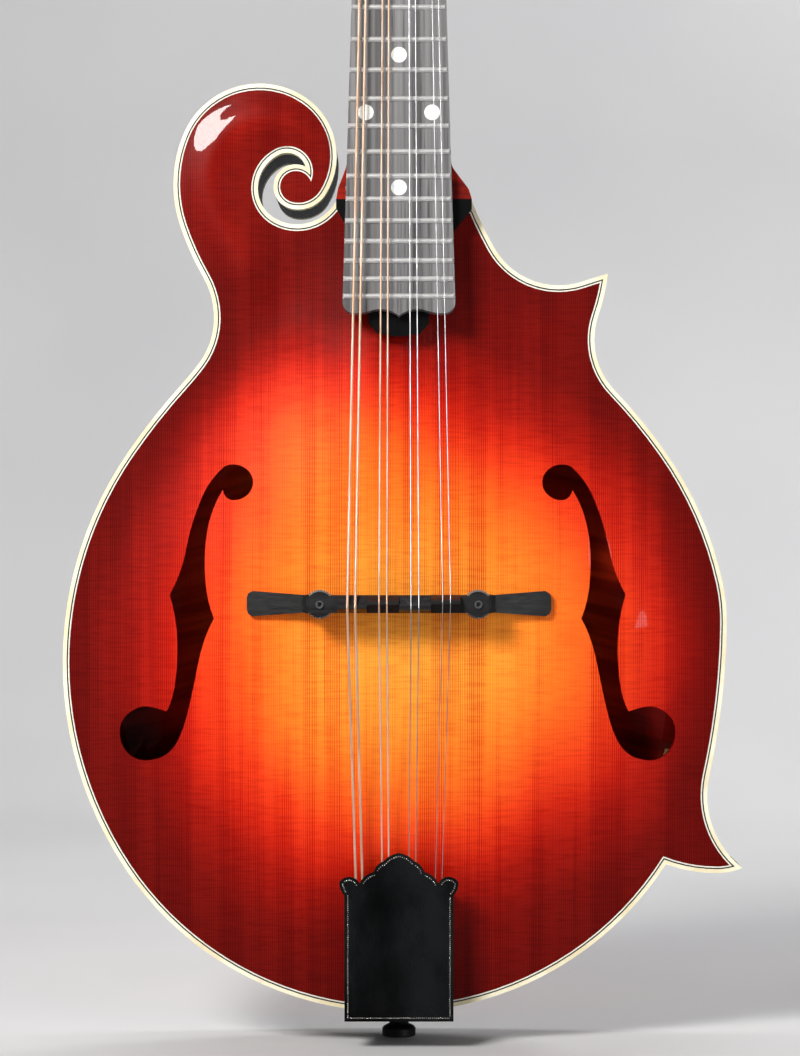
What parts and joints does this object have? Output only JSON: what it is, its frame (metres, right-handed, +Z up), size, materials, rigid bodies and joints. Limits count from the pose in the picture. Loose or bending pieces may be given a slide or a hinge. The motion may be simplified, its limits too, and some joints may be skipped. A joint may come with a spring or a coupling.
{
  "type": "mandolin",
  "caption": "Carved-top scroll-body mandolin with two points, sound holes, floating adjustable bridge, slide-off tailpiece cover and geared tuners.",
  "frame": {"origin": "centre of the end pin head at the start of its round band, on the middle plane of the rim", "axes": "+X to the treble side, +Y to the back, +Z up the neck towards the headstock"},
  "size_m": [0.26, 0.1126, 0.6967],
  "materials": {
    "spruce_top": "gloss sunburst lacquer over straight-grained spruce",
    "maple_back": "gloss sunburst lacquer over figured maple",
    "maple_rim": "gloss dark red lacquer over figured maple",
    "maple_neck": "gloss red lacquer over maple",
    "bare_wood": "unfinished, sawn and sanded",
    "ebony": "oiled satin ebony",
    "black_lacquer": "gloss black lacquer",
    "ivory_plastic": "scraped cream binding under lacquer",
    "black_fibre": "black fibre strip",
    "white_fibre": "white fibre strip",
    "bone": "polished bone",
    "pearl": "mother-of-pearl dots",
    "fret_wire": "polished nickel silver",
    "steel_wire": "bright plain steel string",
    "bronze_wire": "phosphor-bronze winding",
    "nickel": "nickel plate",
    "black_nickel": "dark nickel plate, polished",
    "tuner_metal": "nickel shafts with brass wheels",
    "rod_steel": "plain steel"
  },
  "bodies": {
    "root": {"top_plate": "spruce_top", "back_plate": "maple_back", "ribs": "maple_rim", "linings": "bare_wood", "head_block": "bare_wood", "point_blocks": "bare_wood", "tail_block": "bare_wood", "tone_bars": "bare_wood", "top_binding": "ivory_plastic", "top_purfling_black": "black_fibre", "top_purfling_white": "white_fibre", "back_binding": "ivory_plastic", "back_purfling_black": "black_fibre", "back_purfling_white": "white_fibre", "neck": "maple_neck", "heel_cap": "black_lacquer", "truss_rod": "rod_steel", "truss_cover": "black_lacquer", "fingerboard": "ebony", "frets": "fret_wire", "position_dots": "pearl", "side_dots": "white_fibre", "fingerboard_riser": "black_lacquer", "nut": "bone", "headstock_veneer": "black_lacquer", "headstock_binding": "ivory_plastic", "bridge_base": "ebony", "bridge_posts": "nickel", "tailpiece_base": "black_nickel", "tailpiece_screws": "nickel", "end_pin": "ebony", "strings_g": "bronze_wire", "strings_d": "bronze_wire", "strings_a": "steel_wire", "strings_e": "steel_wire", "tuner_plate_bass": "nickel", "tuner_plate_treble": "nickel", "headstock_screws": "nickel", "post_ferrules": "nickel"},
    "saddle": {"bridge_saddle": "ebony"},
    "bass_wheel": {"thumbwheel_bass": "nickel"},
    "treble_wheel": {"thumbwheel_treble": "nickel"},
    "tail_cover": {"tailpiece_cover": "black_nickel"},
    "rod_nut": {"truss_nut": "rod_steel"},
    "post_1": {"string_post_1": "tuner_metal"},
    "worm_1": {"worm_shaft_1": "tuner_metal"},
    "post_2": {"string_post_2": "tuner_metal"},
    "worm_2": {"worm_shaft_2": "tuner_metal"},
    "post_3": {"string_post_3": "tuner_metal"},
    "worm_3": {"worm_shaft_3": "tuner_metal"},
    "post_4": {"string_post_4": "tuner_metal"},
    "worm_4": {"worm_shaft_4": "tuner_metal"},
    "post_5": {"string_post_5": "tuner_metal"},
    "worm_5": {"worm_shaft_5": "tuner_metal"},
    "post_6": {"string_post_6": "tuner_metal"},
    "worm_6": {"worm_shaft_6": "tuner_metal"},
    "post_7": {"string_post_7": "tuner_metal"},
    "worm_7": {"worm_shaft_7": "tuner_metal"},
    "post_8": {"string_post_8": "tuner_metal"},
    "worm_8": {"worm_shaft_8": "tuner_metal"}
  },
  "joints": [
    {"name": "bass_wheel_turn", "type": "hinge", "parent": "saddle", "child": "bass_wheel", "pos_m": [-0.02975, -0.044, 0.1683], "axis": [0, -1, 0], "range_deg": [-740, 20]},
    {"name": "treble_wheel_turn", "type": "hinge", "parent": "saddle", "child": "treble_wheel", "pos_m": [0.02975, -0.044, 0.1683], "axis": [0, -1, 0], "range_deg": [-740, 20]},
    {"name": "saddle_height", "type": "slide", "parent": "root", "child": "saddle", "axis": [0, -1, 0], "range_m": [-0.0014, 0]},
    {"name": "tail_cover_slide", "type": "slide", "parent": "root", "child": "tail_cover", "axis": [0, 0, -1], "range_m": [0, 0.065], "stiffness_N_per_m": 150},
    {"name": "rod_nut_turn", "type": "hinge", "parent": "root", "child": "rod_nut", "pos_m": [0, -0.00434, 0.53787], "axis": [0, 0.0862, 0.9963], "range_deg": [-180, 180]},
    {"name": "worm_turn_1", "type": "hinge", "parent": "root", "child": "worm_1", "pos_m": [-0.0155, 0.01609, 0.55402], "axis": [1, 0, 0], "continuous": true},
    {"name": "post_turn_1", "type": "hinge", "parent": "root", "child": "post_1", "pos_m": [-0.0155, 0.00066, 0.56678], "axis": [0, 0.9432, -0.3322], "continuous": true},
    {"name": "worm_turn_2", "type": "hinge", "parent": "root", "child": "worm_2", "pos_m": [-0.0155, 0.02377, 0.57581], "axis": [1, 0, 0], "continuous": true},
    {"name": "post_turn_2", "type": "hinge", "parent": "root", "child": "post_2", "pos_m": [-0.0155, 0.00833, 0.58857], "axis": [0, 0.9432, -0.3322], "continuous": true},
    {"name": "worm_turn_3", "type": "hinge", "parent": "root", "child": "worm_3", "pos_m": [-0.0155, 0.03144, 0.5976], "axis": [1, 0, 0], "continuous": true},
    {"name": "post_turn_3", "type": "hinge", "parent": "root", "child": "post_3", "pos_m": [-0.0155, 0.016, 0.61036], "axis": [0, 0.9432, -0.3322], "continuous": true},
    {"name": "worm_turn_4", "type": "hinge", "parent": "root", "child": "worm_4", "pos_m": [-0.0155, 0.03911, 0.61939], "axis": [1, 0, 0], "continuous": true},
    {"name": "post_turn_4", "type": "hinge", "parent": "root", "child": "post_4", "pos_m": [-0.0155, 0.02367, 0.63215], "axis": [0, 0.9432, -0.3322], "continuous": true},
    {"name": "worm_turn_5", "type": "hinge", "parent": "root", "child": "worm_5", "pos_m": [0.0155, 0.01609, 0.55402], "axis": [1, 0, 0], "continuous": true},
    {"name": "post_turn_5", "type": "hinge", "parent": "root", "child": "post_5", "pos_m": [0.0155, 0.00066, 0.56678], "axis": [0, 0.9432, -0.3322], "continuous": true},
    {"name": "worm_turn_6", "type": "hinge", "parent": "root", "child": "worm_6", "pos_m": [0.0155, 0.02377, 0.57581], "axis": [1, 0, 0], "continuous": true},
    {"name": "post_turn_6", "type": "hinge", "parent": "root", "child": "post_6", "pos_m": [0.0155, 0.00833, 0.58857], "axis": [0, 0.9432, -0.3322], "continuous": true},
    {"name": "worm_turn_7", "type": "hinge", "parent": "root", "child": "worm_7", "pos_m": [0.0155, 0.03144, 0.5976], "axis": [1, 0, 0], "continuous": true},
    {"name": "post_turn_7", "type": "hinge", "parent": "root", "child": "post_7", "pos_m": [0.0155, 0.016, 0.61036], "axis": [0, 0.9432, -0.3322], "continuous": true},
    {"name": "worm_turn_8", "type": "hinge", "parent": "root", "child": "worm_8", "pos_m": [0.0155, 0.03911, 0.61939], "axis": [1, 0, 0], "continuous": true},
    {"name": "post_turn_8", "type": "hinge", "parent": "root", "child": "post_8", "pos_m": [0.0155, 0.02367, 0.63215], "axis": [0, 0.9432, -0.3322], "continuous": true}
  ],
  "couplings": [
    {"joint": "bass_wheel_turn", "follows": "saddle_height", "rad_per_m": 8976},
    {"joint": "treble_wheel_turn", "follows": "saddle_height", "rad_per_m": 8976},
    {"joint": "post_turn_1", "follows": "worm_turn_1", "ratio": 0.071429},
    {"joint": "post_turn_2", "follows": "worm_turn_2", "ratio": 0.071429},
    {"joint": "post_turn_3", "follows": "worm_turn_3", "ratio": 0.071429},
    {"joint": "post_turn_4", "follows": "worm_turn_4", "ratio": 0.071429},
    {"joint": "post_turn_5", "follows": "worm_turn_5", "ratio": 0.071429},
    {"joint": "post_turn_6", "follows": "worm_turn_6", "ratio": 0.071429},
    {"joint": "post_turn_7", "follows": "worm_turn_7", "ratio": 0.071429},
    {"joint": "post_turn_8", "follows": "worm_turn_8", "ratio": 0.071429}
  ]
}
